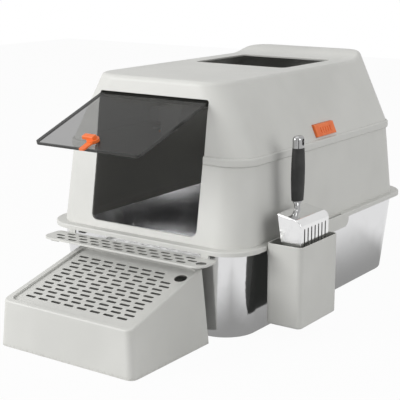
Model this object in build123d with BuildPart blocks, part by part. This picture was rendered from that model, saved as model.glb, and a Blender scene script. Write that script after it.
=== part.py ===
from build123d import *
import math
import os

# Covered litter box: a steel pan, a plastic wall and lid with a tinted flap, a landing and a step in front of
# the entry, and a scoop in a bin that hangs from the wall's flange. Millimetres, +Z up, front towards -Y,
# origin on the floor under the middle of the pan.

os.makedirs("parts", exist_ok=True)

# Flange at the foot of the wall, which sits on the pan's rim
flange_width = 405.0
flange_length = 600.0
flange_corner = 58.0
ledge_height = 150.5
flange_plate = 3.0
lip_thickness = 2.5
lip_depth = 7.5
lip_round = 2.2

# Steel pan
pan_sheet = 1.2
pan_draft = 4.4
pan_corner = 52.0
pan_foot_corner = 58.0
pan_bottom_round = 5.0
rim_overhang = 4.0
rim_gap = 5.6

# Lower wall
shell = 3.0
ledge_side = 12.5
ledge_end = 16.0
wall_height = 136.5
wall_lean_side = 7.6
wall_lean_end = 21.8
wall_foot_corner = 50.0
wall_top_corner = 44.0
skirt_depth = 10.0
skirt_clearance = 1.0

# Entry, the lower part in the wall and the upper part in the lid
sill_rise = 11.0
sill_corner = 12.0
entry_margin = 82.5
entry_step = 2.0
entry_head_corner = 5.0

# Lid
band_overlap = 11.5
band_height = 14.0
band_proud = 4.0
band_round = 3.4
lid_fit = 0.6
lid_step = 0.4
lid_height = 113.0
lid_lean_side = 50.0
lid_lean_front = 15.0
lid_lean_rear = 1.0
lid_top_corner = 52.0
roof_round = 9.0
tail_run = 86.0
tail_curve = 72.0
tail_rise = 14.0
roof_hole_side_margin = 37.8
roof_hole_length = 170.0
roof_hole_rear_gap = 6.0
roof_hole_corner = 11.0
roof_hole_round = 1.2

# Flap door, shown at rest in its open place
door_open = 63.0
hinge_drop = 34.5
hinge_inset = 5.7
door_head = 3.0
entry_head_gap = 1.2
door_length = 180.0
door_thickness = 2.5
door_side_gap = 2.5
door_taper = 5.0
door_corner = 7.0
door_skirt_depth = 5.0
door_skirt_wall = 1.8
door_barrel_radius = 4.0
pin_radius = 2.0
pin_fit = 0.05
pin_seat_fit = 0.02
pin_depth = 10.0
jamb_boss_radius = 5.0
jamb_boss_length = 5.5
jamb_boss_end = 1.0
pin_end_gap = 0.4

# Turn latch on the flap
latch_inset = 22.0
latch_radius = 10.0
latch_base = 4.5
latch_clearance = 0.2
latch_grip_length = 22.0
latch_grip_width = 10.0
latch_grip_height = 5.5
latch_grip_offset = 6.0
latch_tongue_thickness = 2.5
latch_tongue_width = 11.0
latch_tongue_reach = 30.0
latch_tongue_corner = 3.0
latch_round = 1.2
screw_radius = 2.0
screw_fit = 0.1
screw_thread_fit = 0.02
screw_head_radius = 4.5
screw_head_height = 1.8
screw_bite = 6.0

# Lid release buttons, one on each side
button_width = 66.0
button_centre = -3.0
button_rise = 4.5
button_height = 20.0
button_proud = 5.0
button_depth = 12.0
button_fit = 0.3
button_travel = 4.0
button_round = 1.6
button_rib_count = 5
button_rib_pitch = 8.0
button_rib_width = 2.0
button_rib_length = 11.0
button_rib_depth = 0.8
hook_arm_width = 20.0
hook_arm_thickness = 4.0
hook_height = 4.0
catch_reach = 9.0
catch_height = 3.0
catch_width = 28.0
catch_lift = 2.0
catch_clearance = 2.0
housing_wall = 2.5
guard_margin = 16.0
guard_drop = 1.0
spring_pressed = 3.5
spring_sheet = 0.6
spring_span = 40.0
spring_height = 10.0
spring_gap = 0.3

# Landing in front of the entry, and the two arms that carry it
landing_side_gap = 39.5
landing_depth = 48.0
landing_drop = 12.5
landing_plate = 3.0
landing_corner = 20.0
landing_rear_corner = 9.0
landing_edge_round = 1.0
landing_gap = 0.5
landing_hole = 17.0
landing_hole_inset = 13.0
landing_slot_length = 17.0
landing_slot_width = 7.5
landing_slot_pitch = 24.5
landing_row_pitch = 13.0
landing_slot_margin = 28.0
landing_slot_shift = -4.0
landing_row_margin = 3.0
arm_inset = 27.0
arm_width = 14.0
arm_root = 5.5
arm_tip = 3.0
arm_setback = 5.0
landing_peg_radius = 2.5
landing_peg_length = 3.0
landing_peg_fit = 0.3
landing_peg_setback = 12.5

# Step
step_side_gap = 30.0
step_length = 194.0
step_shift = 12.0
step_tuck = 2.0
step_clearance = 7.0
step_front_height = 74.0
step_draft = 2.6
step_side_draft = 4.5
step_corner = 12.0
step_rear_corner = 4.0
step_wall = 2.5
step_edge_round = 3.0
step_rim = 7.25
step_recess_shift = 3.25
step_recess = 3.5
step_recess_corner = 12.0
step_ledge = 2.5
step_ledge_thickness = 3.0

# Grate of the step
grate_thickness = 3.0
grate_fit = 0.4
grate_slot_length = 19.0
grate_slot_width = 5.0
grate_slot_pitch = 26.0
grate_row_pitch = 10.9
grate_side_margin = 24.0
grate_front_margin = 24.0
grate_first_row = 31.5
grate_slot_shift = -2.0
grate_stagger = 5.5
grate_short_rows = 2
finger_hole = 20.5
finger_hole_inset = 28.5
finger_hole_back = 34.0

# Bin that holds the scoop, hung from a slot in the flange
holder_gap = 0.4
holder_depth = 64.0
holder_width = 119.0
holder_from_front = 131.5
holder_height = 132.0
holder_rise = 6.5
holder_wall = 2.2
holder_corner = 9.0
holder_bottom_round = 3.0
holder_rim_round = 0.8
hook_width = 40.0
hook_plate = 3.0
hook_tongue = 2.4
hook_tongue_depth = 11.5
hook_fit = 0.4
slot_inset = 1.0
slot_length = 226.0
slot_margin = 8.0
tab_margin = 22.0
tab_drop = 17.0
tab_corner = 14.0

# Scoop, mouth down in the bin
scoop_sheet = 1.2
scoop_side_gap = 12.3
scoop_shift = -3.5
scoop_inset = 6.0
scoop_back_depth = 42.0
scoop_mouth_depth = 14.0
scoop_length = 176.0
scoop_back_fall = 8.0
scoop_back_round = 12.0
scoop_edge_round = 1.8
scoop_slot_margin = 6.0
scoop_slot_pitch = 11.0
scoop_slot_width = 3.6
scoop_slot_low = 26.0
scoop_slot_top = 21.0
handle_offset = 33.0
neck_height = 16.0
neck_foot_width = 22.0
neck_foot_depth = 10.0
neck_waist_width = 13.0
neck_waist_depth = 9.0
neck_waist_height = 7.0
tang_radius = 4.5
tang_short = 6.0
tang_fit = 0.05
grip_length = 84.0
grip_width = 24.0
grip_depth = 17.0
grip_swell = 1.5
neck_inset = 1.0
cap_height = 19.0
cap_round = 6.0
cap_hole_width = 6.5
cap_hole_height = 11.0

# Heights worked out from the sizes above
pan_height = ledge_height - flange_plate
lip_bottom = ledge_height - lip_depth
seat_height = ledge_height + wall_height
band_bottom = seat_height - band_overlap
lid_base = band_bottom + band_height
lid_top = lid_base + lid_height
hinge_height = lid_top - hinge_drop
sill_height = ledge_height + sill_rise

# Plan sizes worked out from the sizes above
flange_front = -flange_length / 2
flange_side = flange_width / 2
lip_inner = flange_side - lip_thickness
pan_inset = lip_thickness + rim_gap + rim_overhang
pan_top_width = flange_width - 2 * pan_inset
pan_top_length = flange_length - 2 * pan_inset
wall_foot_width = flange_width - 2 * ledge_side
wall_foot_length = flange_length - 2 * ledge_end
lid_base_width = wall_foot_width - 2 * wall_lean_side + 2 * lid_step
lid_base_length = wall_foot_length - 2 * wall_lean_end + 2 * lid_step
wall_entry_width = wall_foot_width - 2 * entry_margin
lid_entry_width = wall_entry_width + 2 * entry_step
roof_hole_width = lid_base_width - 2 * (lid_lean_side + roof_hole_side_margin)
tail_start = lid_base_length / 2 - lid_lean_rear - tail_run
holder_centre = flange_front + holder_from_front
slot_width = rim_gap - slot_inset
slot_front = holder_centre - hook_width / 2 - slot_margin
slot_rear = slot_front + slot_length
landing_width = flange_width - 2 * landing_side_gap
arm_spacing = landing_width - 2 * arm_inset
step_width = landing_width - 2 * step_side_gap
scoop_width = holder_width - 2 * (holder_wall + scoop_side_gap)
scoop_centre = holder_centre + scoop_shift


# Rounded rectangle at a height, about a point
def plan(width, length, corner, height, centre_x=0.0, centre_y=0.0):
    with BuildSketch(Plane.XY.offset(height)) as outline:
        with Locations((centre_x, centre_y)):
            RectangleRounded(width, length, corner)
    return outline.sketch


# Outline of the pan at a height, drawn in by an inset
def pan_plan(height, inset):
    shrink = (pan_height - height) * math.tan(math.radians(pan_draft)) + inset
    corner = pan_foot_corner + (pan_corner - pan_foot_corner) * height / pan_height - inset
    return plan(pan_top_width - 2 * shrink, pan_top_length - 2 * shrink, corner, height)


# Pan's closed outer or inner form, rounded along its bottom
def pan_form(bottom, inset, edge_round):
    with BuildPart() as form:
        loft([pan_plan(bottom, inset), pan_plan(pan_height, inset)], ruled=True)
        fillet(form.faces().sort_by(Axis.Z)[0].edges(), edge_round)
    return form.part


# Outline of the wall at a height, drawn in by an inset
def wall_plan(height, inset):
    share = (height - ledge_height) / wall_height
    width = wall_foot_width - 2 * (wall_lean_side * share + inset)
    length = wall_foot_length - 2 * (wall_lean_end * share + inset)
    corner = wall_foot_corner + (wall_top_corner - wall_foot_corner) * share - inset
    return plan(width, length, corner, height)


# Front and side faces of the lid at a height
def lid_front(height):
    return -lid_base_length / 2 + lid_lean_front * (height - lid_base) / lid_height


def lid_side(height):
    return lid_base_width / 2 - lid_lean_side * (height - lid_base) / lid_height


# Outline of the lid at a height, drawn in by an inset
def lid_plan(height, inset):
    share = (height - lid_base) / lid_height
    front = lid_front(height) + inset
    rear = lid_base_length / 2 - lid_lean_rear * share - inset
    corner = wall_top_corner + (lid_top_corner - wall_top_corner) * share - inset
    return plan(2 * (lid_side(height) - inset), rear - front, corner, height, centre_y=(front + rear) / 2)


# Lid's closed outer or inner form: leaning sides under a flat roof that curves up to a level tail at the rear
def lid_form(bottom, inset, edge_round):
    roof = lid_top - inset
    roof_clear = lid_top + 2 * tail_rise
    tail_sweep = 2 * math.atan(tail_rise / tail_curve)
    tail_radius = tail_curve / (2 * math.sin(tail_sweep))
    tail_turn = math.degrees(tail_sweep)
    tail_end = tail_start + tail_curve
    tail_roof = roof + tail_rise
    with BuildPart() as form:
        loft([lid_plan(bottom, inset), lid_plan(roof_clear, inset)], ruled=True)
        with BuildSketch(Plane.YZ):
            with BuildLine():
                rise = CenterArc((tail_start, roof + tail_radius), tail_radius, -90, tail_turn)
                crest = CenterArc((tail_end, tail_roof - tail_radius), tail_radius, 90 + tail_turn, -tail_turn)
                Polyline(crest @ 1, (flange_length, tail_roof), (flange_length, 2 * roof_clear),
                         (-flange_length, 2 * roof_clear), (-flange_length, roof), rise @ 0)
            make_face()
        extrude(amount=flange_width, both=True, mode=Mode.SUBTRACT)
        roof_faces = form.faces().filter_by(lambda face: face.normal_at().Z > 0.9)
        roof_edges = ShapeList(edge for face in roof_faces for edge in face.edges())
        seams = roof_edges.filter_by(Axis.X).filter_by_position(Axis.Y, tail_start, tail_end)
        fillet(roof_edges.filter_by(lambda edge: edge not in seams), edge_round)
    return form.part


# Deep-drawn pan with a flat rim
with BuildPart() as steel_pan:
    add(pan_form(0, 0, pan_bottom_round))
    extrude(pan_plan(pan_height, -rim_overhang), amount=-pan_sheet)
    add(pan_form(pan_sheet, pan_sheet, pan_bottom_round - pan_sheet), mode=Mode.SUBTRACT)
steel_pan.part.label = "steel_pan"
export_step(steel_pan.part, "parts/steel_pan.step")

# Catch of the lid, inside the wall's top: its reach fixes where the button's hook may stand
catch_top = seat_height - band_overlap
catch_low = catch_top - catch_height
wall_inner_at_catch = wall_foot_width / 2 - wall_lean_side * (catch_low - ledge_height) / wall_height - shell
catch_tip = wall_inner_at_catch - catch_reach
catch_length = catch_reach + shell / 2

# Landing's heights, on which its arms and the step depend
landing_top = ledge_height - landing_drop
landing_bottom = landing_top - landing_plate
landing_rear = flange_front - landing_gap
landing_front = landing_rear - landing_depth
arm_low = landing_bottom - arm_root
arm_end = landing_front + arm_setback
peg_place = arm_end + landing_peg_setback

# Wall with the flange, the skirt inside the pan, the entry, the holder's slot and tab, and the landing's arms
with BuildPart() as lower_wall:
    extrude(plan(flange_width, flange_length, flange_corner, lip_bottom), amount=lip_depth)
    fillet(lower_wall.faces().sort_by(Axis.Z)[-1].edges(), lip_round)
    extrude(plan(flange_width - 2 * lip_thickness, flange_length - 2 * lip_thickness,
                 flange_corner - lip_thickness, lip_bottom),
            amount=lip_depth - flange_plate, mode=Mode.SUBTRACT)
    skirt_bottom = pan_height - skirt_depth
    extrude(pan_plan(skirt_bottom, pan_sheet + skirt_clearance), amount=skirt_depth)
    loft([wall_plan(ledge_height, 0), wall_plan(seat_height, 0)], ruled=True)
    loft([pan_plan(skirt_bottom, pan_sheet + skirt_clearance + shell),
          wall_plan(ledge_height, shell)], ruled=True, mode=Mode.SUBTRACT)
    loft([wall_plan(ledge_height, shell), wall_plan(seat_height, shell)], ruled=True, mode=Mode.SUBTRACT)
    with BuildSketch(Plane.XZ):
        with Locations((0, sill_height + wall_height)):
            RectangleRounded(wall_entry_width, 2 * wall_height, sill_corner)
    extrude(amount=flange_length, mode=Mode.SUBTRACT)
    with BuildSketch(Plane.XY.offset(lip_bottom)):
        with Locations((lip_inner - slot_width / 2, (slot_front + slot_rear) / 2)):
            Rectangle(slot_width, slot_length)
    extrude(amount=lip_depth, mode=Mode.SUBTRACT)
    with BuildSketch(Plane.YZ.offset(lip_inner)) as tab:
        with Locations(((slot_front + slot_rear) / 2, lip_bottom)):
            Rectangle(slot_length + 2 * tab_margin, 2 * tab_drop)
        fillet(tab.vertices().group_by(Axis.Y)[0], tab_corner)
        with Locations((0, lip_bottom + flange_length / 2 + lip_round)):
            Rectangle(flange_length, flange_length, mode=Mode.SUBTRACT)
    extrude(amount=lip_thickness)
    for side in (-1, 1):
        with BuildSketch(Plane.YZ.offset(side * arm_spacing / 2)):
            with BuildLine():
                Polyline((flange_front + lip_thickness, lip_bottom + lip_round),
                         (flange_front, lip_bottom + lip_round),
                         (flange_front, landing_bottom), (arm_end, landing_bottom),
                         (arm_end, landing_bottom - arm_tip), (flange_front, arm_low),
                         (flange_front + lip_thickness, arm_low), close=True)
            make_face()
        extrude(amount=arm_width / 2, both=True)
        with BuildSketch(Plane.XY.offset(landing_bottom)):
            with Locations((side * arm_spacing / 2, peg_place)):
                Circle(landing_peg_radius + landing_peg_fit)
        extrude(amount=-2 * arm_root, mode=Mode.SUBTRACT)
        with BuildSketch(Plane.XY.offset(catch_low)):
            with Locations((side * (catch_tip + catch_length / 2), button_centre)):
                Rectangle(catch_length, catch_width)
        extrude(amount=catch_height)
lower_wall.part.label = "lower_wall"
export_step(lower_wall.part, "parts/lower_wall.step")

# Hinge axis of the flap, behind the lid's front face
hinge_y = lid_front(hinge_height) + hinge_inset
front_lean = math.atan(lid_lean_front / lid_height)
door_tilt = front_lean + math.radians(door_open)
door_normal = (0, -math.cos(door_tilt), math.sin(door_tilt))
door_plane = Plane(origin=(0, hinge_y, hinge_height), x_dir=(1, 0, 0), z_dir=door_normal)
door_half = lid_entry_width / 2 - door_side_gap
entry_head = hinge_height + math.hypot(door_head, hinge_inset) + entry_head_gap

# Button's place on the lid's side, and the housing behind it
button_low = lid_base + button_rise
button_high = button_low + button_height
button_back = lid_side(button_high) - button_depth
housing_back = button_back - button_travel - spring_pressed - housing_wall
housing_top = button_high + button_fit + housing_wall

# Proud band around the lid's foot
with BuildPart() as lid_band:
    extrude(plan(lid_base_width + 2 * band_proud, lid_base_length + 2 * band_proud,
                 wall_top_corner + band_proud, band_bottom), amount=band_height)
    fillet(lid_band.faces().filter_by(Axis.Z).edges(), band_round)

# Bosses in the entry's jambs for the flap's pins, kept inside the lid's outer form
with BuildPart() as jamb_bosses:
    for side in (-1, 1):
        with BuildSketch(Plane.YZ.offset(side * lid_entry_width / 2)):
            with Locations((hinge_y, hinge_height)):
                Circle(jamb_boss_radius)
        extrude(amount=side * jamb_boss_length)
    add(lid_form(lid_base, 0, roof_round), mode=Mode.INTERSECT)

# Lid with its band, the upper part of the entry, the roof hole, and the flap's jamb bosses
with BuildPart() as lid:
    add(lid_form(lid_base, 0, roof_round))
    add(lid_band.part)
    add(lid_form(seat_height, shell, roof_round - shell), mode=Mode.SUBTRACT)
    loft([wall_plan(band_bottom, -lid_fit), wall_plan(seat_height, -lid_fit)], ruled=True, mode=Mode.SUBTRACT)
    hole_centre = tail_start - roof_hole_rear_gap - roof_hole_length / 2
    extrude(plan(roof_hole_width, roof_hole_length, roof_hole_corner, lid_top, centre_y=hole_centre),
            amount=-2 * shell, mode=Mode.SUBTRACT)
    level_faces = lid.faces().filter_by(Axis.Z)
    roof_face = level_faces.filter_by_position(Axis.Z, lid_top - shell / 2, lid_top + shell / 2)[0]
    fillet(roof_face.inner_wires().edges(), roof_hole_round)
    with BuildSketch(Plane.XZ):
        with Locations((0, band_bottom)):
            RectangleRounded(lid_entry_width, 2 * (entry_head - band_bottom), entry_head_corner)
    extrude(amount=flange_length, mode=Mode.SUBTRACT)
    add(jamb_bosses.part)
    for side in (-1, 1):
        with BuildSketch(Plane.YZ.offset(side * lid_entry_width / 2)):
            with Locations((hinge_y, hinge_height)):
                Circle(pin_radius + pin_seat_fit)
        extrude(amount=side * (jamb_boss_length - jamb_boss_end), mode=Mode.SUBTRACT)
        with BuildSketch(Plane.YZ.offset(side * button_back)):
            with Locations((button_centre, (button_low + button_high) / 2)):
                Rectangle(button_width + 2 * button_fit, button_height + 2 * button_fit)
        extrude(amount=side * flange_side, mode=Mode.SUBTRACT)
lid.part.label = "lid"
export_step(lid.part, "parts/lid.step")

# Flap: a thin panel with a skirt round its edge, hung on a barrel
door_foot = door_half - door_taper
latch_point = latch_inset - door_length
with BuildPart() as front_door:
    with BuildSketch(door_plane.offset(hinge_inset - door_thickness)) as panel:
        with BuildLine():
            Polyline((-door_half, door_head), (door_half, door_head), (door_foot, -door_length),
                     (-door_foot, -door_length), close=True)
        make_face()
        fillet(panel.vertices().group_by(Axis.Y)[0], door_corner)
    extrude(amount=door_thickness)
    with BuildSketch(door_plane.offset(hinge_inset - door_skirt_depth)):
        add(panel.sketch_local)
        offset(amount=-door_skirt_wall, mode=Mode.SUBTRACT)
    extrude(amount=door_skirt_depth)
    with BuildSketch(Plane.YZ):
        with Locations((hinge_y, hinge_height)):
            Circle(door_barrel_radius)
    extrude(amount=door_half, both=True)
    for side in (-1, 1):
        with BuildSketch(Plane.YZ.offset(side * door_half)):
            with Locations((hinge_y, hinge_height)):
                Circle(pin_radius + pin_fit)
        extrude(amount=-side * pin_depth, mode=Mode.SUBTRACT)
    with BuildSketch(door_plane.offset(hinge_inset)):
        with Locations((0, latch_point)):
            Circle(screw_radius + screw_fit)
    extrude(amount=-door_thickness, mode=Mode.SUBTRACT)
front_door.part.label = "front_door"
export_step(front_door.part, "parts/front_door.step")

# Hinge pins, pressed into the jambs and running in the flap's barrel
pin_inner = door_half - pin_depth + pin_end_gap
pin_outer = lid_entry_width / 2 + jamb_boss_length - jamb_boss_end - pin_end_gap
with BuildPart() as door_hinge_pin_right:
    with BuildSketch(Plane.YZ.offset(pin_inner)):
        with Locations((hinge_y, hinge_height)):
            Circle(pin_radius)
    extrude(amount=pin_outer - pin_inner)
door_hinge_pin_right.part.label = "door_hinge_pin_right"
export_step(door_hinge_pin_right.part, "parts/door_hinge_pin_right.step")

with BuildPart() as door_hinge_pin_left:
    mirror(door_hinge_pin_right.part, about=Plane.YZ)
door_hinge_pin_left.part.label = "door_hinge_pin_left"
export_step(door_hinge_pin_left.part, "parts/door_hinge_pin_left.step")

# Turn latch: a disc with a raised grip and a tongue that reaches over the flap's free edge
latch_seat = hinge_inset + latch_clearance
with BuildPart() as door_latch:
    with BuildSketch(door_plane.offset(latch_seat)) as tongue:
        with Locations((0, latch_point)):
            Rectangle(latch_tongue_width, latch_tongue_reach, align=(Align.CENTER, Align.MAX))
        fillet(tongue.vertices().group_by(Axis.Y)[0], latch_tongue_corner)
    extrude(amount=latch_tongue_thickness)
    with BuildSketch(door_plane.offset(latch_seat)):
        with Locations((0, latch_point)):
            Circle(latch_radius)
    extrude(amount=latch_base)
    with BuildSketch(door_plane.offset(latch_seat + latch_base)):
        with Locations((-latch_grip_offset, latch_point)):
            RectangleRounded(latch_grip_length, latch_grip_width, latch_round)
    extrude(amount=latch_grip_height)
    fillet(door_latch.faces().sort_by(Axis((0, 0, 0), door_normal))[-1].edges(), latch_round)
    with BuildSketch(door_plane.offset(latch_seat)):
        with Locations((0, latch_point)):
            Circle(screw_radius + screw_thread_fit)
    extrude(amount=screw_bite, mode=Mode.SUBTRACT)
door_latch.part.label = "door_latch"
export_step(door_latch.part, "parts/door_latch.step")

# Latch's pivot screw, put in from behind the flap
screw_seat = hinge_inset - door_thickness - latch_clearance
with BuildPart() as latch_screw:
    with BuildSketch(door_plane.offset(screw_seat)):
        with Locations((0, latch_point)):
            Circle(screw_head_radius)
    extrude(amount=-screw_head_height)
    with BuildSketch(door_plane.offset(screw_seat)):
        with Locations((0, latch_point)):
            Circle(screw_radius)
    extrude(amount=latch_seat + screw_bite - latch_clearance - screw_seat)
latch_screw.part.label = "latch_screw"
export_step(latch_screw.part, "parts/latch_screw.step")

# Release button: a sloping face with grip grooves, and an arm with a hook that goes down behind the wall
hook_top = catch_low - catch_lift
hook_tip = catch_tip - catch_clearance
side_lean = math.atan(lid_lean_side / lid_height)
button_middle = (button_low + button_high) / 2
with BuildPart() as release_button_right:
    with BuildSketch(Plane.XZ.offset(-button_centre)):
        with BuildLine():
            Polyline((button_back, button_low), (lid_side(button_low) + button_proud, button_low),
                     (lid_side(button_high) + button_proud, button_high), (button_back, button_high),
                     close=True)
        make_face()
    extrude(amount=button_width / 2, both=True)
    fillet(release_button_right.faces().sort_by(Axis.X)[-1].edges(), button_round)
    with BuildSketch(Plane(origin=(lid_side(button_middle) + button_proud, button_centre, button_middle),
                           x_dir=(0, 1, 0), z_dir=(math.cos(side_lean), 0, math.sin(side_lean)))):
        with GridLocations(button_rib_pitch, 0, button_rib_count, 1):
            SlotOverall(button_rib_length, button_rib_width, rotation=90)
    extrude(amount=-button_rib_depth, mode=Mode.SUBTRACT)
    with BuildSketch(Plane.XZ.offset(-button_centre)):
        with BuildLine():
            Polyline((button_back, button_low + hook_height),
                     (button_back + hook_arm_thickness, button_low + hook_height),
                     (button_back + hook_arm_thickness, hook_top), (hook_tip, hook_top),
                     (hook_tip, hook_top - hook_height), (button_back, hook_top - hook_height), close=True)
        make_face()
    extrude(amount=hook_arm_width / 2, both=True)
release_button_right.part.label = "release_button_right"
export_step(release_button_right.part, "parts/release_button_right.step")

with BuildPart() as release_button_left:
    mirror(release_button_right.part, about=Plane.YZ)
release_button_left.part.label = "release_button_left"
export_step(release_button_left.part, "parts/release_button_left.step")

# Button housing: a guide open towards the button and below, with a guard plate behind the hook's arm
housing_low = button_low - housing_wall
with BuildPart() as button_housing_right:
    with BuildSketch(Plane.XZ.offset(-button_centre)):
        with BuildLine():
            Polyline((housing_back, housing_low), (lid_side(housing_low) - shell, housing_low),
                     (lid_side(housing_top) - shell, housing_top), (housing_back, housing_top), close=True)
        make_face()
    extrude(amount=button_width / 2 + button_fit + housing_wall, both=True)
    with BuildSketch(Plane.YZ.offset(housing_back + housing_wall)):
        with Locations((button_centre, button_high + button_fit)):
            Rectangle(button_width + 2 * button_fit, 2 * button_height, align=(Align.CENTER, Align.MAX))
    extrude(amount=flange_side, mode=Mode.SUBTRACT)
    guard_low = hook_top - hook_height - guard_drop
    with BuildSketch(Plane.YZ.offset(housing_back)):
        with Locations((button_centre, guard_low)):
            Rectangle(hook_arm_width + 2 * guard_margin, button_low - guard_low,
                      align=(Align.CENTER, Align.MIN))
    extrude(amount=housing_wall)
button_housing_right.part.label = "button_housing_right"
export_step(button_housing_right.part, "parts/button_housing_right.step")

with BuildPart() as button_housing_left:
    mirror(button_housing_right.part, about=Plane.YZ)
button_housing_left.part.label = "button_housing_left"
export_step(button_housing_left.part, "parts/button_housing_left.step")

# Bowed leaf spring between the housing's back and the button
spring_back = housing_back + housing_wall + spring_gap + spring_sheet
spring_front = button_back - spring_gap - spring_sheet / 2
with BuildPart() as button_spring_right:
    with BuildSketch(Plane.XY.offset(button_middle)):
        with BuildLine():
            ThreePointArc((spring_back, button_centre - spring_span / 2), (spring_front, button_centre),
                          (spring_back, button_centre + spring_span / 2))
        trace(line_width=spring_sheet)
    extrude(amount=spring_height / 2, both=True)
button_spring_right.part.label = "button_spring_right"
export_step(button_spring_right.part, "parts/button_spring_right.step")

with BuildPart() as button_spring_left:
    mirror(button_spring_right.part, about=Plane.YZ)
button_spring_left.part.label = "button_spring_left"
export_step(button_spring_left.part, "parts/button_spring_left.step")

# Landing: a slotted plate laid on the wall's arms, with a peg that goes down into each of them
landing_middle = (landing_front + landing_rear) / 2
with BuildPart() as landing_grate:
    with BuildSketch(Plane.XY.offset(landing_bottom)) as landing_outline:
        with Locations((0, landing_middle)):
            Rectangle(landing_width, landing_depth)
        fillet(landing_outline.vertices().group_by(Axis.Y)[0], landing_corner)
        fillet(landing_outline.vertices().group_by(Axis.Y)[-1], landing_rear_corner)
    extrude(amount=landing_plate)
    fillet(landing_grate.faces().sort_by(Axis.Z)[-1].edges(), landing_edge_round)
    with BuildSketch(Plane.XY.offset(landing_bottom)):
        with Locations((-arm_spacing / 2, peg_place), (arm_spacing / 2, peg_place)):
            Circle(landing_peg_radius)
    extrude(amount=-landing_peg_length)
    landing_rows = math.floor((landing_depth - 2 * landing_row_margin) / landing_row_pitch)
    landing_columns = math.floor((landing_width - 2 * landing_slot_margin) / landing_slot_pitch)
    with BuildSketch(Plane.XY.offset(landing_top)):
        for row in range(landing_rows):
            row_place = landing_middle + (row - (landing_rows - 1) / 2) * landing_row_pitch
            with Locations((landing_slot_shift, row_place)):
                with GridLocations(landing_slot_pitch, 0, landing_columns + row % 2, 1):
                    SlotOverall(landing_slot_length, landing_slot_width)
        with Locations((landing_width / 2 - landing_hole_inset, landing_front + landing_corner)):
            Circle(landing_hole / 2)
    extrude(amount=-landing_plate, mode=Mode.SUBTRACT)
landing_grate.part.label = "landing_grate"
export_step(landing_grate.part, "parts/landing_grate.step")

# Step's sloping top, from the front height up to just under the landing's arms
step_rear_height = arm_low - step_clearance
step_rear = flange_front + step_tuck
step_middle = step_rear - step_length / 2
step_slant = math.tan(math.radians(step_draft))
step_side_slant = math.tan(math.radians(step_side_draft))
step_top_rear = step_rear - step_slant * step_rear_height
step_top_front = step_rear - step_length + step_slant * step_front_height
step_slope = math.atan((step_rear_height - step_front_height) / (step_top_rear - step_top_front))
step_normal = (0, -math.sin(step_slope), math.cos(step_slope))
slope_plane = Plane(origin=(step_shift, step_top_rear, step_rear_height), x_dir=(1, 0, 0), z_dir=step_normal)
slope_length = math.hypot(step_rear_height - step_front_height, step_top_rear - step_top_front)
seat_depth = step_recess + grate_thickness


# Half of the step's width at a height
def step_half(height):
    return step_width / 2 - height * step_side_slant


# Outline of the step at a height, drawn in by an inset
def step_plan(height, inset):
    length = step_length - 2 * (height * step_slant + inset)
    with BuildSketch(Plane.XY.offset(height)) as outline:
        with Locations((step_shift, step_middle)):
            Rectangle(2 * (step_half(height) - inset), length)
        fillet(outline.vertices().group_by(Axis.Y)[0], step_corner - inset)
        fillet(outline.vertices().group_by(Axis.Y)[-1], step_rear_corner - inset)
    return outline.sketch


# Leaning block of the step's outline, up to a depth under its sloping top
def step_block(bottom, inset, depth):
    with BuildPart() as block:
        loft([step_plan(bottom, inset), step_plan(2 * step_rear_height, inset)], ruled=True)
        with BuildSketch(slope_plane.offset(-depth)):
            Rectangle(4 * step_width, 4 * step_length)
        extrude(amount=-4 * step_length, mode=Mode.INTERSECT)
    return block.part


# Block square to the step's sloping top, drawn in from the top's edges, between two depths
def slope_block(inset, corner, low_depth, high_depth):
    rear_half = step_half(step_rear_height) - inset
    front_half = step_half(step_front_height) - inset
    with BuildPart() as block:
        with BuildSketch(slope_plane.offset(-low_depth)) as outline:
            with BuildLine():
                Polyline((step_recess_shift - rear_half, -inset), (step_recess_shift + rear_half, -inset),
                         (step_recess_shift + front_half, inset - slope_length),
                         (step_recess_shift - front_half, inset - slope_length), close=True)
            make_face()
            fillet(outline.vertices(), corner)
        extrude(amount=low_depth - high_depth)
    return block.part


# Step: a hollow box with a rim and a ledge that carry the grate
with BuildPart() as step_base:
    add(step_block(0, 0, 0))
    fillet(step_base.faces().sort_by(Axis((0, 0, 0), step_normal))[-1].edges(), step_edge_round)
    add(step_block(step_wall, step_wall, seat_depth + step_ledge_thickness), mode=Mode.SUBTRACT)
    add(slope_block(step_rim, step_recess_corner, seat_depth, -step_recess), mode=Mode.SUBTRACT)
    add(slope_block(step_rim + step_ledge, step_recess_corner - step_ledge,
                    seat_depth + 2 * step_ledge_thickness, 0), mode=Mode.SUBTRACT)
step_base.part.label = "step_base"
export_step(step_base.part, "parts/step_base.step")

# Slotted grate let into the step's rim; the rows next to the finger hole are one slot short
with BuildPart() as step_grate:
    add(slope_block(step_rim + grate_fit, step_recess_corner - grate_fit, seat_depth, step_recess))
    grate_rows = math.floor((slope_length - grate_first_row - grate_front_margin) / grate_row_pitch) + 1
    grate_columns = math.floor((step_width - 2 * grate_side_margin) / grate_slot_pitch)
    with BuildSketch(slope_plane):
        for row in range(grate_rows):
            columns = grate_columns - 1 if row < grate_short_rows else grate_columns
            for column in range(columns):
                slot_x = (column - (grate_columns - 1) / 2) * grate_slot_pitch + row % 2 * grate_stagger
                slot_x += grate_slot_shift
                with Locations((slot_x, -grate_first_row - row * grate_row_pitch)):
                    SlotOverall(grate_slot_length, grate_slot_width)
        with Locations((step_width / 2 - finger_hole_inset, -finger_hole_back)):
            Circle(finger_hole / 2)
    extrude(amount=-2 * seat_depth, mode=Mode.SUBTRACT)
step_grate.part.label = "step_grate"
export_step(step_grate.part, "parts/step_grate.step")

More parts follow.
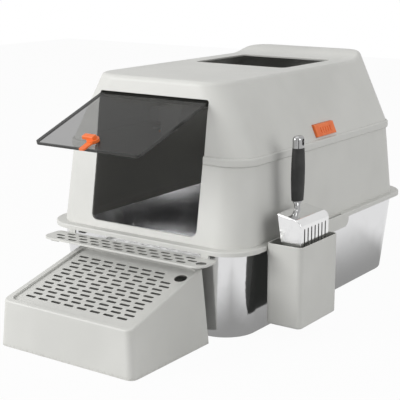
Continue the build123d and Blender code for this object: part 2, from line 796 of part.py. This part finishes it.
# Open bin with a hook that goes over the lip and into the slot
holder_back = flange_side + holder_gap
holder_bottom = ledge_height + holder_rise - holder_height
holder_x = holder_back + holder_depth / 2
tongue_outer = lip_inner - hook_fit
with BuildPart() as scoop_holder:
    extrude(plan(holder_depth, holder_width, holder_corner, holder_bottom, holder_x, holder_centre),
            amount=holder_height)
    fillet(scoop_holder.faces().sort_by(Axis.Z)[0].edges(), holder_bottom_round)
    extrude(plan(holder_depth - 2 * holder_wall, holder_width - 2 * holder_wall, holder_corner - holder_wall,
                 holder_bottom + holder_wall, holder_x, holder_centre),
            amount=holder_height, mode=Mode.SUBTRACT)
    fillet(scoop_holder.faces().sort_by(Axis.Z)[-1].edges(), holder_rim_round)
    with BuildSketch(Plane.XZ.offset(-holder_centre)):
        with BuildLine():
            Polyline((holder_back + holder_wall / 2, ledge_height),
                     (holder_back + holder_wall / 2, ledge_height + hook_plate),
                     (tongue_outer - hook_tongue, ledge_height + hook_plate),
                     (tongue_outer - hook_tongue, ledge_height - hook_tongue_depth),
                     (tongue_outer, ledge_height - hook_tongue_depth), (tongue_outer, ledge_height),
                     close=True)
        make_face()
    extrude(amount=hook_width / 2, both=True)
scoop_holder.part.label = "scoop_holder"
export_step(scoop_holder.part, "parts/scoop_holder.step")

# Scoop's places: it stands on its mouth on the bin's floor, its slotted floor towards +X
scoop_floor = holder_back + holder_depth - holder_wall - scoop_inset
scoop_mouth = holder_bottom + holder_wall
scoop_top = scoop_mouth + scoop_length
back_slope = scoop_back_fall / scoop_back_depth
back_sheet = scoop_sheet * math.hypot(1, back_slope)
handle_x = scoop_floor - handle_offset
neck_foot = scoop_top - back_slope * (scoop_back_depth - handle_offset)
grip_bottom = neck_foot + neck_height
grip_top = grip_bottom + grip_length


# Scoop's closed outer form
def scoop_form():
    with BuildPart() as form:
        with BuildSketch(Plane.XZ.offset(-scoop_centre)) as outline:
            with BuildLine():
                Polyline((scoop_floor, scoop_mouth), (scoop_floor, scoop_top - scoop_back_fall),
                         (scoop_floor - scoop_back_depth, scoop_top),
                         (scoop_floor - scoop_mouth_depth, scoop_mouth), close=True)
            make_face()
            fillet(outline.vertices().sort_by(Axis.X)[-2:].sort_by(Axis.Y)[-1], scoop_back_round)
        extrude(amount=scoop_width / 2, both=True)
    return form.part


# Ellipse across the scoop's handle at a height
def handle_section(depth, width, height):
    with BuildSketch(Plane.XY.offset(height)) as section:
        with Locations((handle_x, scoop_centre)):
            Ellipse(depth / 2, width / 2)
    return section.sketch


# Scoop's head: slotted floor, two tapering sides and a sloping back
with BuildPart() as scoop_head:
    add(scoop_form())
    fillet(scoop_head.faces().sort_by(Axis.X)[-1].edges().filter_by(Axis.Z), scoop_edge_round)
    with BuildSketch(Plane.XZ.offset(-scoop_centre)) as hollow:
        inner_floor = scoop_floor - scoop_sheet
        inner_top = scoop_top - scoop_back_fall - back_sheet
        with BuildLine():
            Polyline((inner_floor, scoop_mouth - scoop_sheet),
                     (inner_floor, inner_top + back_slope * scoop_sheet),
                     (scoop_floor - 2 * scoop_back_depth, inner_top + 2 * scoop_back_fall),
                     (scoop_floor - 2 * scoop_back_depth, scoop_mouth - scoop_sheet), close=True)
        make_face()
        fillet(hollow.vertices().sort_by(Axis.X)[-2:].sort_by(Axis.Y)[-1], scoop_back_round - scoop_sheet)
    extrude(amount=scoop_width / 2 - scoop_sheet, both=True, mode=Mode.SUBTRACT)
    scoop_slots = math.floor((scoop_width - 2 * scoop_slot_margin) / scoop_slot_pitch)
    scoop_slot_length = scoop_length - scoop_slot_low - scoop_slot_top
    with BuildSketch(Plane.YZ.offset(scoop_floor)):
        with Locations((scoop_centre, scoop_mouth + scoop_slot_low + scoop_slot_length / 2)):
            with GridLocations(scoop_slot_pitch, 0, scoop_slots, 1):
                SlotOverall(scoop_slot_length, scoop_slot_width, rotation=90)
    extrude(amount=-2 * scoop_sheet, mode=Mode.SUBTRACT)
scoop_head.part.label = "scoop_head"
export_step(scoop_head.part, "parts/scoop_head.step")

# Bright neck on the scoop's back, with the tang that runs up inside the grip
with BuildPart() as scoop_tang:
    loft([handle_section(neck_foot_depth, neck_foot_width, neck_foot - scoop_back_fall / 2),
          handle_section(neck_waist_depth, neck_waist_width, neck_foot + neck_waist_height),
          handle_section(grip_depth - 2 * neck_inset, grip_width - 2 * neck_inset, grip_bottom)])
    add(scoop_form(), mode=Mode.SUBTRACT)
    extrude(handle_section(2 * tang_radius, 2 * tang_radius, grip_bottom), amount=grip_length - tang_short)
scoop_tang.part.label = "scoop_tang"
export_step(scoop_tang.part, "parts/scoop_tang.step")

# Swelling grip over the tang
with BuildPart() as scoop_grip:
    loft([handle_section(grip_depth, grip_width, grip_bottom),
          handle_section(grip_depth + 2 * grip_swell, grip_width + 2 * grip_swell,
                         (grip_bottom + grip_top) / 2),
          handle_section(grip_depth, grip_width, grip_top)])
    tang_bore = 2 * (tang_radius + tang_fit)
    extrude(handle_section(tang_bore, tang_bore, grip_bottom), amount=grip_length, mode=Mode.SUBTRACT)
scoop_grip.part.label = "scoop_grip"
export_step(scoop_grip.part, "parts/scoop_grip.step")

# Bright end cap with a hole to hang the scoop by
with BuildPart() as scoop_end_cap:
    extrude(handle_section(grip_depth, grip_width, grip_top), amount=cap_height)
    fillet(scoop_end_cap.faces().sort_by(Axis.Z)[-1].edges(), cap_round)
    with BuildSketch(Plane.YZ.offset(handle_x)):
        with Locations((scoop_centre, grip_top + cap_height / 2)):
            SlotOverall(cap_hole_height, cap_hole_width, rotation=90)
    extrude(amount=grip_depth, both=True, mode=Mode.SUBTRACT)
scoop_end_cap.part.label = "scoop_end_cap"
export_step(scoop_end_cap.part, "parts/scoop_end_cap.step")
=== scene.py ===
import math
import bpy
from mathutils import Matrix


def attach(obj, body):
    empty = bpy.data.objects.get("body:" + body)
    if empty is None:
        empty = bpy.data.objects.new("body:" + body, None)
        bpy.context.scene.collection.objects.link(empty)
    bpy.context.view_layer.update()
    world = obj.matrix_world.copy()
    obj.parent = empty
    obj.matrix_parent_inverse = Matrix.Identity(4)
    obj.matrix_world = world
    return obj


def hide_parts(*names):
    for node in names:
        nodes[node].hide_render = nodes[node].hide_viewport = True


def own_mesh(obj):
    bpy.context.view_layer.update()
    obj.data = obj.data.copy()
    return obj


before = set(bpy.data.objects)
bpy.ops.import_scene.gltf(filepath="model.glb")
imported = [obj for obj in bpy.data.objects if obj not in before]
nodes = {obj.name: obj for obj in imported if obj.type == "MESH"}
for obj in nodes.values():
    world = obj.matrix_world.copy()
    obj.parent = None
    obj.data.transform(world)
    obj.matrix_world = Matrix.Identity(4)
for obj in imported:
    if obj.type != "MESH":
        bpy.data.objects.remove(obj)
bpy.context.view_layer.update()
scene = bpy.context.scene
scene.view_settings.view_transform = "Standard"
bpy.ops.object.select_all(action="DESELECT")


class Wire:  # one output socket, with the operators that the finishes use
    def __init__(self, sheet, socket):
        self.sheet = sheet
        self.socket = socket

    def math(self, operation, first, second=0.0):
        return self.sheet.node("Math", {"operation": operation}, {0: first, 1: second})

    def __add__(self, other):
        return self.math("ADD", self, other)

    def __radd__(self, other):
        return self.math("ADD", other, self)

    def __sub__(self, other):
        return self.math("SUBTRACT", self, other)

    def __rsub__(self, other):
        return self.math("SUBTRACT", other, self)

    def __mul__(self, other):
        return self.math("MULTIPLY", self, other)

    def __rmul__(self, other):
        return self.math("MULTIPLY", other, self)

    def __abs__(self):
        return self.math("ABSOLUTE", self)

    def least(self, other):
        return self.math("MINIMUM", self, other)

    def most(self, other):
        return self.math("MAXIMUM", self, other)

    def ramp(self, low, high):  # 0 at low, 1 at high, smooth between
        return self.sheet.node("MapRange", {"interpolation_type": "SMOOTHSTEP"}, {0: self, 1: low, 2: high})


class Sheet:  # one node tree; node() makes any node
    def __init__(self, tree):
        self.tree = tree
        tree.nodes.clear()

    def node(self, kind, settings=None, links=None, out=0):
        made = self.tree.nodes.new("ShaderNode" + kind)
        for name, value in (settings or {}).items():
            setattr(made, name, value)
        for name, value in (links or {}).items():
            if isinstance(value, Wire):
                self.tree.links.new(value.socket, made.inputs[name])
            else:
                made.inputs[name].default_value = value
        return Wire(self, made.outputs[out] if made.outputs else None)

    def place(self):  # rest coordinates of the piece, in metres
        return self.node("TexCoord", out="Object")

    def along(self, axis, at=None):  # one coordinate of a vector
        return self.node("SeparateXYZ", None, {0: at or self.place()}, out=axis)

    def noise(self, scale, detail=2.0, rough=0.5, at=None):
        return self.node("TexNoise", None, {"Vector": at or self.place(), "Scale": scale,
                                            "Detail": detail, "Roughness": rough})

    def stretch(self, x, y, z):
        return self.node("Mapping", None, {"Vector": self.place(), "Scale": (x, y, z)})

    def mix(self, share, first, second):
        return self.node("Mix", {"data_type": "RGBA"}, {0: share, 6: first, 7: second}, out=2)

    def bump(self, height, strength, distance, under=None):
        links = {"Height": height, "Strength": strength, "Distance": distance}
        if under:
            links["Normal"] = under
        return self.node("Bump", None, links)

    def ray(self, kind):  # 1 for one kind of ray, 0 for the others
        return self.node("LightPath", out=f"Is {kind} Ray")


def linear(red, green, blue):  # a screen colour, 0 to 255, as the shader wants it
    def one(value):
        share = value / 255
        return share / 12.92 if share <= 0.04045 else ((share + 0.055) / 1.055) ** 2.4
    return (one(red), one(green), one(blue), 1.0)


def surface(name):
    material = bpy.data.materials.new(name)
    material.use_nodes = True
    return material, Sheet(material.node_tree)


def close(sheet, sockets):  # the one shader of a finish, and its output
    shader = sheet.node("BsdfPrincipled", None, sockets)
    sheet.node("OutputMaterial", None, {"Surface": shader})


def wear(material, names):
    for name in names:
        nodes[name].material_slots[0].material = material


# Moulded grey plastic: fine spark-eroded grain, slow shade changes, scuffs at the foot
greyShell = {
    "light": linear(211, 211, 207), "dark": linear(203, 203, 199), "cloudScale": 7, "cloudBand": (0.3, 0.7),
    "scuff": linear(150, 148, 142), "scuffScale": 220, "scuffBand": (0.42, 0.66), "scuffShare": 0.35,
    "footLow": 0.0005, "footHeight": 0.007,
    "roughness": 0.46, "flowScale": 60, "flowStretch": 0.25, "flowRough": 0.12, "grainRough": 0.1,
    "grain": 1500, "grainStrength": 0.28, "grainDepth": 0.00012, "ior": 1.5, "gloss": 0.42,
}


def greyPlastic(name, look):
    material, sheet = surface(name)
    cloud = sheet.noise(look["cloudScale"], 3)
    grain = sheet.noise(look["grain"], 2)
    flow = sheet.noise(look["flowScale"], 4, 0.6, sheet.stretch(1, 1, look["flowStretch"]))
    z = sheet.along("Z")
    spots = sheet.noise(look["scuffScale"], 4, 0.7).ramp(*look["scuffBand"])
    foot = (1 - z.ramp(look["footLow"], look["footHeight"])) * spots
    colour = sheet.mix(cloud.ramp(*look["cloudBand"]), look["light"], look["dark"])
    colour = sheet.mix(foot * look["scuffShare"], colour, look["scuff"])
    if "inner" in look:  # painted shade within the piece, under the top face
        x = sheet.along("X")
        y = sheet.along("Y")
        tilt = math.radians(look["slope"])
        rearY, rearZ = look["rearTop"]
        depth = (y - rearY) * math.sin(tilt) - (z - rearZ) * math.cos(tilt)
        within = (look["innerHalf"] - abs(x - look["middle"])).least(y - look["innerFront"])
        within = within.least(look["innerRear"] - y)
        inside = depth.ramp(look["innerDepth"], look["innerDepth"] * 1.1) * within.ramp(0, look["innerBlur"])
        colour = sheet.mix(inside, colour, look["inner"])
    if "core" in look:  # painted shade on faces turned towards the middle of a hollow piece
        outward = sheet.node("VectorMath", {"operation": "SUBTRACT"}, {0: sheet.place(), 1: look["core"]})
        facing = sheet.node("VectorMath", {"operation": "DOT_PRODUCT"},
                            {0: outward, 1: sheet.node("TexCoord", out="Normal")}, out="Value")
        colour = sheet.mix(1 - facing.ramp(-look["inwardShadeBlur"], 0.0), colour, look["inwardShade"])
    rough = look["roughness"] + (flow - 0.5) * look["flowRough"] + (grain - 0.5) * look["grainRough"]
    close(sheet, {"Base Color": colour, "Roughness": rough, "IOR": look["ior"],
                  "Specular IOR Level": look["gloss"],
                  "Normal": sheet.bump(grain, look["grainStrength"], look["grainDepth"])})
    return material


# Hollow shells, each with the middle point that their painted shade on inward faces turns to
shells = {"lower_wall": (0, 0, 0.12), "lid": (0, 0, 0.3), "scoop_holder": (0.235, -0.17, 0.09)}
for shellName, core in shells.items():
    shellLook = dict(greyShell, core=core, inwardShade=linear(160, 160, 156), inwardShadeBlur=0.002)
    wear(greyPlastic(shellName + "Grey", shellLook), [shellName])

# Step and its grate: the same plastic, with painted shade in the hollow and in the slots
stepShell = dict(greyShell, nodes=["step_base", "step_grate"], inner=linear(96, 96, 93), slope=14.684,
                 rearTop=(-0.30356, 0.1225), middle=0.012, innerHalf=0.1205, innerFront=-0.4865,
                 innerRear=-0.3065, innerDepth=0.0037, innerBlur=0.0005)
wear(greyPlastic("stepGrey", stepShell), stepShell["nodes"])

# Landing: painted shade in its slots and finger hole
landingShell = dict(stepShell, nodes=["landing_grate"], slope=0.0, rearTop=(-0.3005, 0.138), middle=0.0,
                    innerHalf=0.1565, innerFront=-0.342, innerRear=-0.3035, innerDepth=0.0003)
wear(greyPlastic("landingGrey", landingShell), landingShell["nodes"])
print("grey plastic:", len(shells) + len(stepShell["nodes"]) + len(landingShell["nodes"]), "pieces")

# Plainer plastic inside the lid, not seen from outside
innerShell = dict(greyShell, nodes=["button_housing_left", "button_housing_right"],
                  light=linear(190, 190, 186), dark=linear(180, 180, 176))
wear(greyPlastic("innerGrey", innerShell), innerShell["nodes"])

# Mirror-polished pan: drawing lines up the sides, faint smudges
panSteel = {
    "nodes": ["steel_pan"], "tint": linear(232, 232, 233), "dull": linear(214, 214, 214), "dullShare": 0.6,
    "roughness": 0.1, "smudgeScale": 14, "smudgeBand": (0.45, 0.75), "smudgeRough": 0.06,
    "hazeScale": 90, "hazeBand": (0.4, 0.8), "hazeRough": 0.05,
    "drawScale": 500, "drawStretch": 0.02, "drawRough": 0.05, "drawStrength": 0.05, "drawDepth": 0.0002,
    "waveScale": 11, "waveStrength": 0.1, "waveDepth": 0.002,
}


def polishedSteel(name, look):
    material, sheet = surface(name)
    draw = sheet.noise(look["drawScale"], 3, 0.6, sheet.stretch(1, 1, look["drawStretch"]))
    smudge = sheet.noise(look["smudgeScale"], 4, 0.6).ramp(*look["smudgeBand"])
    haze = sheet.noise(look["hazeScale"], 5, 0.65).ramp(*look["hazeBand"])
    wave = sheet.noise(look["waveScale"], 2, 0.4)
    colour = sheet.mix(smudge * look["dullShare"], look["tint"], look["dull"])
    rough = look["roughness"] + smudge * look["smudgeRough"] + haze * look["hazeRough"]
    rough = rough + (draw - 0.5) * look["drawRough"]
    normal = sheet.bump(draw, look["drawStrength"], look["drawDepth"])
    normal = sheet.bump(wave, look["waveStrength"], look["waveDepth"], normal)
    close(sheet, {"Base Color": colour, "Roughness": rough, "Metallic": 1.0, "Normal": normal})
    return material


wear(polishedSteel("polishedSteel", panSteel), panSteel["nodes"])

# Bright plating of the scoop, its darker neck and cap, and the spring steel
scoopChrome = {
    "nodes": ["scoop_head", "latch_screw", "door_hinge_pin_left", "door_hinge_pin_right"],
    "tint": linear(243, 243, 243), "dull": linear(228, 228, 229), "dullShare": 0.5, "roughness": 0.09,
    "hairScale": 900, "hairStretch": 0.03, "hairBand": (0.56, 0.74), "hairRough": 0.05,
    "hairStrength": 0.05, "hairDepth": 0.0001,
    "smudgeScale": 45, "smudgeBand": (0.45, 0.8), "smudgeRough": 0.06,
}
neckLook = dict(scoopChrome, nodes=["scoop_tang", "scoop_end_cap"], tint=linear(176, 176, 176),
                dull=linear(160, 160, 160), roughness=0.06)
springLook = dict(scoopChrome, nodes=["button_spring_left", "button_spring_right"],
                  tint=linear(190, 190, 194), dull=linear(150, 148, 146), roughness=0.22)


def chrome(name, look):
    material, sheet = surface(name)
    lengthways = sheet.stretch(1, 1, look["hairStretch"])
    hairline = sheet.noise(look["hairScale"], 2, 0.5, lengthways).ramp(*look["hairBand"])
    smudge = sheet.noise(look["smudgeScale"], 4, 0.6).ramp(*look["smudgeBand"])
    colour = sheet.mix(smudge * look["dullShare"], look["tint"], look["dull"])
    rough = look["roughness"] + hairline * look["hairRough"] + smudge * look["smudgeRough"]
    close(sheet, {"Base Color": colour, "Roughness": rough, "Metallic": 1.0,
                  "Normal": sheet.bump(hairline, look["hairStrength"], look["hairDepth"])})
    return material


wear(chrome("scoopChrome", scoopChrome), scoopChrome["nodes"])
wear(chrome("neckChrome", neckLook), neckLook["nodes"])
wear(chrome("springSteel", springLook), springLook["nodes"])
print("metals dressed")

# Orange buttons and latch
orangeTrim = {
    "nodes": ["release_button_left", "release_button_right", "door_latch"],
    "light": linear(240, 120, 54), "dark": linear(230, 106, 42), "cloudScale": 60,
    "cloudBand": (0.3, 0.7), "cloudRough": 0.05,
    "roughness": 0.38, "grain": 1800, "grainRough": 0.14, "grainStrength": 0.2, "grainDepth": 0.0001,
}


def orangePlastic(name, look):
    material, sheet = surface(name)
    cloud = sheet.noise(look["cloudScale"], 3).ramp(*look["cloudBand"])
    grain = sheet.noise(look["grain"], 2)
    colour = sheet.mix(cloud, look["light"], look["dark"])
    rough = look["roughness"] + (grain - 0.5) * look["grainRough"] + cloud * look["cloudRough"]
    close(sheet, {"Base Color": colour, "Roughness": rough,
                  "Normal": sheet.bump(grain, look["grainStrength"], look["grainDepth"])})
    return material


wear(orangePlastic("orangePlastic", orangeTrim), orangeTrim["nodes"])

# Soft black grip
softGrip = {
    "nodes": ["scoop_grip"], "light": linear(34, 34, 33), "dark": linear(23, 23, 22), "cloudScale": 40,
    "cloudBand": (0.3, 0.7), "roughness": 0.62, "cloudRough": 0.12,
    "pebble": 1100, "pebbleStrength": 0.3, "pebbleDepth": 0.0002,
}


def gripRubber(name, look):
    material, sheet = surface(name)
    cloud = sheet.noise(look["cloudScale"], 3).ramp(*look["cloudBand"])
    pebble = sheet.node("TexVoronoi", None, {"Vector": sheet.place(), "Scale": look["pebble"]})
    colour = sheet.mix(cloud, look["light"], look["dark"])
    rough = look["roughness"] + (cloud - 0.5) * look["cloudRough"]
    close(sheet, {"Base Color": colour, "Roughness": rough,
                  "Normal": sheet.bump(pebble, look["pebbleStrength"], look["pebbleDepth"])})
    return material


wear(gripRubber("softGrip", softGrip), softGrip["nodes"])

# Smoke-tinted flap: clear in the panel, nearly black in the thick rim
smokeFlap = {
    "nodes": ["front_door"], "tint": linear(44, 44, 42), "roughness": 0.1, "ior": 1.5,
    "panelAlpha": 0.42, "rimAlpha": 0.88,
    "hinge": (0, -0.24648, 0.368), "tilt": 70.56, "halfWidth": 0.107, "foot": 0.102, "length": 0.18,
    "edgeBand": (0.0004, 0.0006), "skirtBand": (0.003008, 0.003168), "barrelBand": (0.0045, 0.0054),
    "smudgeScale": 26, "smudgeBand": (0.45, 0.8), "smudgeAlpha": 0.015, "smudgeRough": 0.08,
    "waveScale": 9, "waveStrength": 0.04, "waveDepth": 0.001,
}


def smokePlastic(name, look):
    material, sheet = surface(name)
    turn = (math.radians(90 - look["tilt"]), 0, 0)
    flat = sheet.node("Mapping", {"vector_type": "TEXTURE"},
                      {"Vector": sheet.place(), "Location": look["hinge"], "Rotation": turn})
    x = sheet.along("X", flat)
    y = sheet.along("Y", flat)
    z = sheet.along("Z", flat)
    lean = (look["halfWidth"] - look["foot"]) / look["length"]
    fromSide = look["halfWidth"] + y * lean - abs(x)
    fromEnd = y + look["length"]
    edge = 1 - fromSide.least(fromEnd).ramp(*look["edgeBand"])
    skirt = 1 - z.ramp(*look["skirtBand"])
    barrel = 1 - (0 - y).ramp(*look["barrelBand"])
    rim = edge.most(skirt).most(barrel)
    smudge = sheet.noise(look["smudgeScale"], 4, 0.6).ramp(*look["smudgeBand"])
    alpha = look["panelAlpha"] + rim * (look["rimAlpha"] - look["panelAlpha"]) + smudge * look["smudgeAlpha"]
    wave = sheet.noise(look["waveScale"], 2)
    close(sheet, {"Base Color": look["tint"], "Roughness": look["roughness"] + smudge * look["smudgeRough"],
                  "IOR": look["ior"], "Alpha": alpha,
                  "Normal": sheet.bump(wave, look["waveStrength"], look["waveDepth"])})
    return material


wear(smokePlastic("smokePlastic", smokeFlap), smokeFlap["nodes"])
print("flap, grip and trim dressed")

# The buttons' leaf springs flatten as the buttons go in; merged copies stand for the CAD ones here, held on
# the lid, but they are not made to flatten
leafSpring = {
    "body": "lid", "slot": "spring_steel", "merge": 1e-6, "smooth": 0.6, "keep": 0.385,
    "copies": [  # new name, CAD node, the button's joint, where the spring is held in X
        ("leafSpringLeft", "button_spring_left", "button_left_press", -0.15311),
        ("leafSpringRight", "button_spring_right", "button_right_press", 0.15311),
    ],
}
for leafName, leafNode, joint, seat in leafSpring["copies"]:
    leaf = bpy.data.objects.new(leafName, nodes[leafNode].data.copy())
    scene.collection.objects.link(leaf)
    bpy.ops.object.select_all(action="DESELECT")
    leaf.select_set(True)
    bpy.context.view_layer.objects.active = leaf
    bpy.ops.object.mode_set(mode="EDIT")
    bpy.ops.mesh.select_all(action="SELECT")
    bpy.ops.mesh.remove_doubles(threshold=leafSpring["merge"])
    bpy.ops.object.mode_set(mode="OBJECT")
    bpy.ops.object.shade_smooth_by_angle(angle=leafSpring["smooth"])
    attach(leaf, leafSpring["body"])
    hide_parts(leafNode)
    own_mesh(leaf)
print("leaf springs:", len(leafSpring["copies"]))

# Floor: white, with a weak shadow; bright metals see it with a painted shadow, darker near the object
floorLook = {"size": 8.0, "below": -0.0004, "colour": (0.55, 0.55, 0.55, 1.0), "seenWhite": 0.96,
             "halfWidth": 0.19, "halfLength": 0.28, "reach": 0.18, "mirrorNear": (0.34, 0.34, 0.335, 1.0),
             "mirrorFar": (0.88, 0.88, 0.88, 1.0)}
bpy.ops.mesh.primitive_plane_add(size=floorLook["size"], location=(0, 0, floorLook["below"]))
floor = bpy.context.object
floor.name = "floor"
floorMaterial, floorSheet = surface("paleFloor")
matt = floorSheet.node("BsdfDiffuse", None, {"Color": floorLook["colour"]})
away = (abs(floorSheet.along("X")) - floorLook["halfWidth"]).most(
    abs(floorSheet.along("Y")) - floorLook["halfLength"])
# painted contact shadow, seen only in reflections: the floor darker near the object
mirrorShade = floorSheet.mix(away.ramp(0, floorLook["reach"]),
                             floorLook["mirrorNear"], floorLook["mirrorFar"])
glow = floorSheet.node("Emission", None, {"Color": (1, 1, 1, 1), "Strength": 1.0})
reflectedFloorShade = floorSheet.node("Emission", None, {"Color": mirrorShade, "Strength": 1.0})
seen = floorSheet.ray("Camera").most(floorSheet.ray("Transmission"))
direct = floorSheet.node("MixShader", None, {0: seen * floorLook["seenWhite"], 1: matt, 2: glow})
floorSheet.node("OutputMaterial", None, {
    "Surface": floorSheet.node("MixShader", None, {0: floorSheet.ray("Glossy"), 1: direct, 2: reflectedFloorShade})})
floor.data.materials.append(floorMaterial)

# World: even light on the object, white behind it
worldLook = {"light": 0.44, "white": 1.0, "mirrored": 0.8}
scene.world = bpy.data.worlds.new("studio")
scene.world.use_nodes = True
worldSheet = Sheet(scene.world.node_tree)
behind = worldSheet.ray("Camera").most(worldSheet.ray("Transmission"))
lift = behind * (worldLook["white"] - worldLook["light"])
lift = lift.most(worldSheet.ray("Glossy") * (worldLook["mirrored"] - worldLook["light"]))
backdrop = worldSheet.node("Background", None, {"Color": (1, 1, 1, 1), "Strength": lift + worldLook["light"]})
worldSheet.node("OutputWorld", None, {"Surface": backdrop})

# Dark cards beside the stage: only the bright metals see them. The two small cards by the bin are a painted
# reflection of its shaded side in the pan
cards = [
    {"name": "binShadeCard", "at": (0.2505, -0.229, 0.09), "turn": (90, 0, 0), "size": (0.098, 0.134)},
    {"name": "gapShadeCard", "at": (0.2015, -0.1685, 0.086), "turn": (90, 0, 90), "size": (0.122, 0.122)},
    {"name": "cardRight", "at": (1.25, -0.55, 0.6), "turn": (90, 0, 66), "size": (0.26, 1.3)},
    {"name": "cardLeft", "at": (0.5, -1.9, 0.6), "turn": (90, 0, 16), "size": (0.42, 1.4)},
]
# faint emission on every card: painted light that lifts their dark reflections
cardLook = {"Base Color": (0.05, 0.05, 0.048, 1), "Roughness": 0.9, "Specular IOR Level": 0.1,
            "Emission Color": (0.95, 1.0, 0.93, 1), "Emission Strength": 0.02}
cardMaterial, cardSheet = surface("cardBlack")
close(cardSheet, cardLook)
for card in cards:
    bpy.ops.mesh.primitive_plane_add(size=1, location=card["at"],
                                     rotation=[math.radians(angle) for angle in card["turn"]])
    board = bpy.context.object
    board.name = card["name"]
    board.scale = (card["size"][0], card["size"][1], 1)
    board.data.materials.append(cardMaterial)
    board.visible_camera = False
    board.visible_diffuse = False
    board.visible_transmission = False
    board.visible_shadow = False
print("cards:", len(cards))

# Lamps: a broad key from the front left, a weak fill on the right, a soft top
lamps = [
    {"name": "key", "at": (-1.75, -2.6, 1.3), "aim": (0, 0, 0.2), "size": 1.6, "watts": 78},
    {"name": "fill", "at": (2.6, -0.4, 1.1), "aim": (0, 0, 0.2), "size": 1.6, "watts": 21},
    {"name": "top", "at": (-0.2, 0.2, 2.6), "aim": (0, 0, 0.3), "size": 2.0, "watts": 9},
]
for lamp in lamps:
    bpy.ops.object.light_add(type="AREA", location=lamp["at"])
    light = bpy.context.object
    light.name = lamp["name"]
    light.data.energy = lamp["watts"]
    light.data.size = lamp["size"]
    reach = [aim - at for aim, at in zip(lamp["aim"], lamp["at"])]
    flat = math.hypot(reach[0], reach[1])
    light.rotation_euler = (math.atan2(flat, -reach[2]), 0, math.atan2(-reach[0], reach[1]))
print("stage and", len(lamps), "lamps")

# Camera at the photograph's place
cameraLook = {"at": (1.0582, -1.6233, 0.6050), "azimuth": 35.11, "elevation": 13.09,
              "lens": 97.59, "sensor": 36}
bpy.ops.object.camera_add(
    location=cameraLook["at"],
    rotation=(math.radians(90 - cameraLook["elevation"]), 0, math.radians(cameraLook["azimuth"])))
camera = bpy.context.object
camera.data.lens = cameraLook["lens"]
camera.data.sensor_width = cameraLook["sensor"]
scene.camera = camera
print("camera placed")
